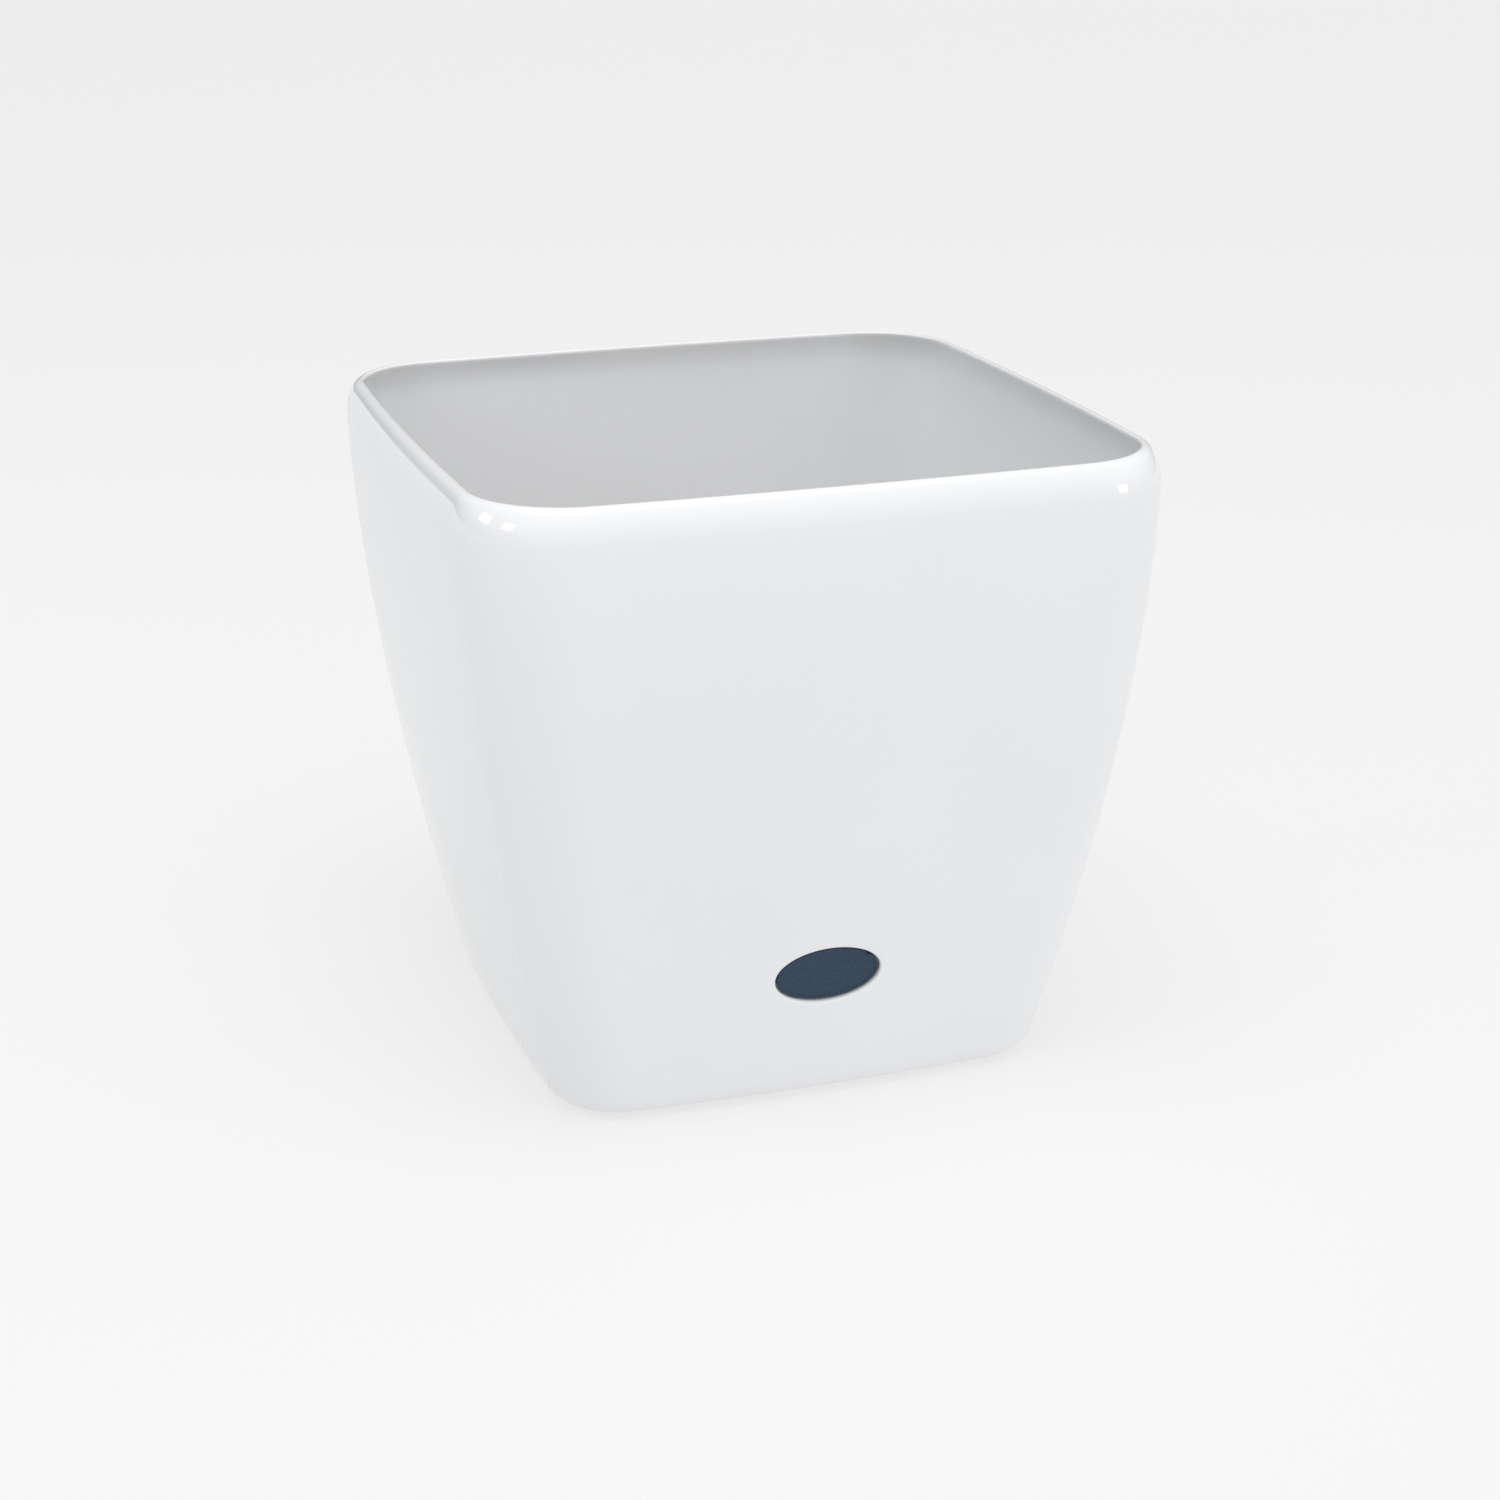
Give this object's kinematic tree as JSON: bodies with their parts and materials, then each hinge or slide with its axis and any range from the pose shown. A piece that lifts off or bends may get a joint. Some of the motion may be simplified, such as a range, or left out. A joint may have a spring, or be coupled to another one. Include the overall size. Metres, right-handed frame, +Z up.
{
  "type": "self watering planter",
  "caption": "Square self-watering plant pot with rounded corners, a lift-out separator with a wick cup, a fill shaft with a float gauge, and an oval overflow plug.",
  "frame": {"origin": "centre of the base, on the plane that the foot pads stand on", "axes": "+Z up, -Y the front with the oval overflow plug, +X to the right seen from the front"},
  "size_m": [0.2002, 0.2002, 0.1843],
  "materials": {
    "pot_gloss_white": "high-gloss moulded white plastic, slightly cool",
    "plug_slate": "dark slate-blue moulded plastic, fine-textured and semi-gloss",
    "seal_rubber": "soft matt rubber",
    "foot_rubber": "soft matt rubber",
    "insert_pale": "matt moulded polypropylene, lightly textured",
    "shaft_pale": "satin moulded polypropylene",
    "lid_white": "gloss moulded white plastic",
    "pin_steel": "drawn stainless steel",
    "float_foam": "closed-cell foam, matt",
    "rod_white": "extruded plastic rod, satin",
    "tip_red": "gloss moulded red plastic",
    "sight_clear": "clear moulded plastic",
    "scale_white": "printed matt plastic strip"
  },
  "bodies": {
    "pot": {"outer_pot": "pot_gloss_white", "foot_pad_front_left": "foot_rubber", "foot_pad_front_right": "foot_rubber", "foot_pad_back_left": "foot_rubber", "foot_pad_back_right": "foot_rubber"},
    "plug": {"overflow_plug": "plug_slate", "plug_seal": "seal_rubber"},
    "insert": {"separator_tray": "insert_pale", "support_leg_front_right": "insert_pale", "support_leg_back_left": "insert_pale", "support_leg_back_right": "insert_pale", "fill_tube": "shaft_pale", "shaft_head": "shaft_pale", "lid_hinge_pin": "pin_steel", "gauge_tube": "shaft_pale", "float_cage": "insert_pale", "sight_cap": "sight_clear", "scale_strip": "scale_white"},
    "cup": {"wick_cup": "insert_pale"},
    "lid": {"filler_lid": "lid_white"},
    "float": {"gauge_float": "float_foam", "gauge_rod": "rod_white", "gauge_tip": "tip_red"}
  },
  "joints": [
    {"name": "insert_lift", "type": "slide", "parent": "pot", "child": "insert", "axis": [0, 0, 1], "range_m": [0, 0.185]},
    {"name": "wick_cup_lift", "type": "slide", "parent": "insert", "child": "cup", "axis": [0, 0, 1], "range_m": [0, 0.18]},
    {"name": "filler_lid_hinge", "type": "hinge", "parent": "insert", "child": "lid", "pos_m": [-0.0675, -0.053, 0.149], "axis": [0, -1, 0], "range_deg": [0, 105]},
    {"name": "float_rise", "type": "slide", "parent": "insert", "child": "float", "axis": [0, 0, 1], "range_m": [0, 0.018]},
    {"name": "overflow_plug_pull", "type": "slide", "parent": "pot", "child": "plug", "axis": [0, -0.9798, -0.2001], "range_m": [0, 0.03]}
  ]
}
